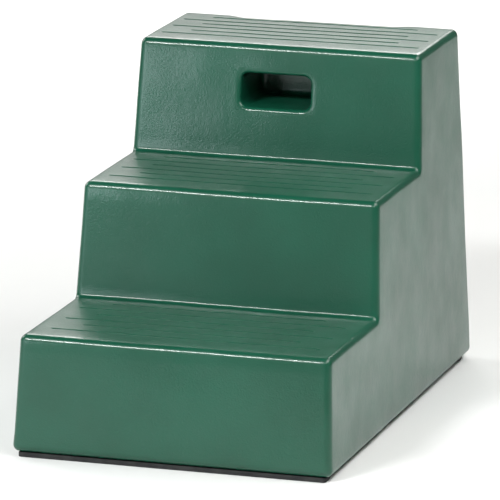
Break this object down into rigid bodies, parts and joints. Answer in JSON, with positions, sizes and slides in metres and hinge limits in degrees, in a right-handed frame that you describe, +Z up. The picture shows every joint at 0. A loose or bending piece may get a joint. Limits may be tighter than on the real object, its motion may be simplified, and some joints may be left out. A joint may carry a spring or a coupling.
{
  "type": "pool step block",
  "caption": "Free-standing hollow moulded block of steps with grooved treads, a hand hold and rubber foot strips, for getting in and out of a pool or spa.",
  "frame": {"origin": "on the floor, under the middle of the block's box", "axes": "+Z up, the steps climb towards +Y and face -Y, +X to the right of someone facing the risers"},
  "size_m": [0.533, 0.88, 0.578],
  "materials": {
    "green_polyethylene": "dark green rotationally moulded polyethylene, semi-gloss with a fine pebbled skin",
    "black_rubber": "matt black moulded rubber, lightly worn",
    "black_nylon": "satin black moulded nylon"
  },
  "bodies": {
    "root": {"step_shell": "green_polyethylene", "front_foot_strip": "black_rubber", "rear_foot_strip": "black_rubber", "front_push_rivet_1": "black_nylon", "front_push_rivet_2": "black_nylon", "front_push_rivet_3": "black_nylon", "front_push_rivet_4": "black_nylon", "rear_push_rivet_1": "black_nylon", "rear_push_rivet_2": "black_nylon", "rear_push_rivet_3": "black_nylon", "rear_push_rivet_4": "black_nylon"}
  },
  "joints": []
}
